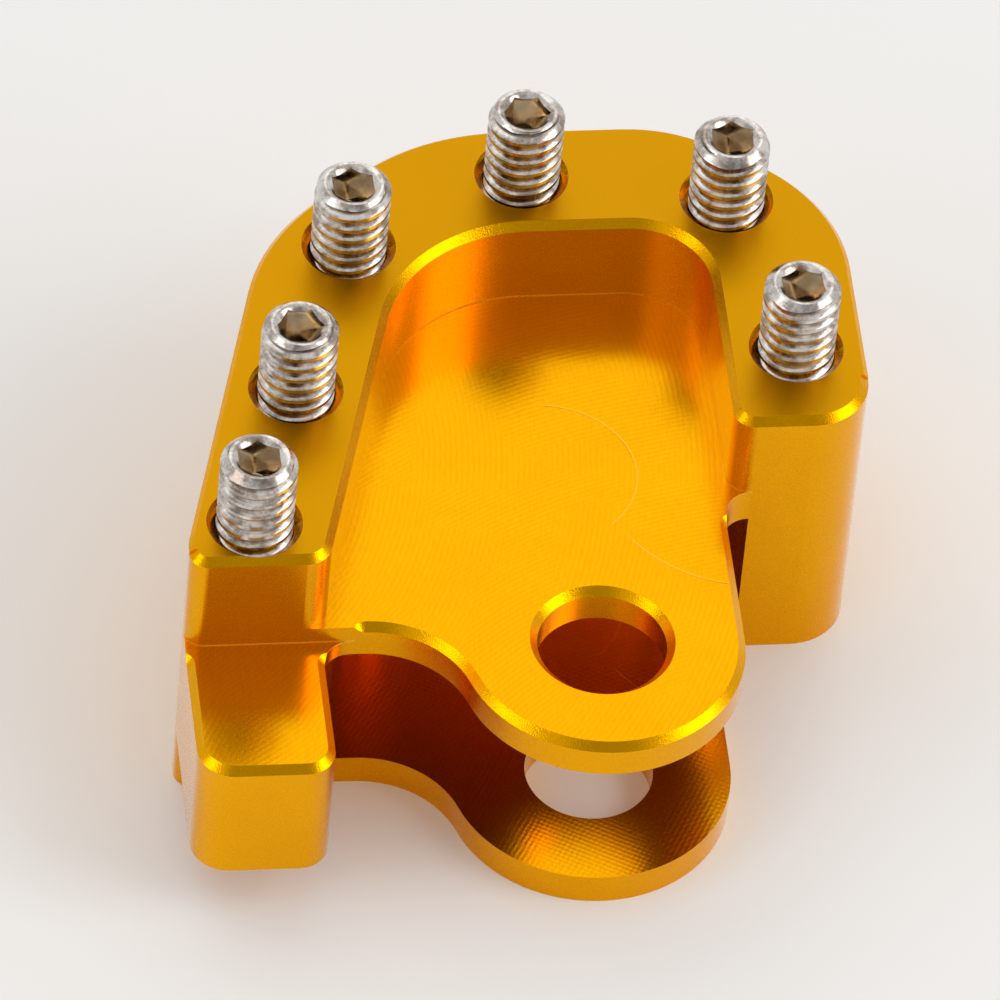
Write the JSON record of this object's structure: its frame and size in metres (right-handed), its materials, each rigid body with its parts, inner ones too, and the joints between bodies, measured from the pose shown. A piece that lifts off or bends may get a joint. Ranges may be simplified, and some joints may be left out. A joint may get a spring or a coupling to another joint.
{
  "type": "brake pedal extension",
  "caption": "Milled brake pedal extension: a clevis for the pedal's end, and a raised horseshoe rim with set screws as grip studs.",
  "frame": {"origin": "on the axis of the pivot bore, in the plane of the base", "axes": "+Z along the bore towards the tread with the studs, -Y towards the nose of the clevis, +X towards the short leg of the rim"},
  "size_m": [0.0374, 0.0399, 0.0228],
  "materials": {
    "anodised_aluminium": "gold anodised, milled",
    "stainless_steel": "turned thread, bright"
  },
  "bodies": {
    "root": {"body": "anodised_aluminium", "grip_screw_1": "stainless_steel", "grip_screw_2": "stainless_steel", "grip_screw_3": "stainless_steel", "grip_screw_4": "stainless_steel", "grip_screw_5": "stainless_steel", "grip_screw_6": "stainless_steel"}
  },
  "joints": []
}
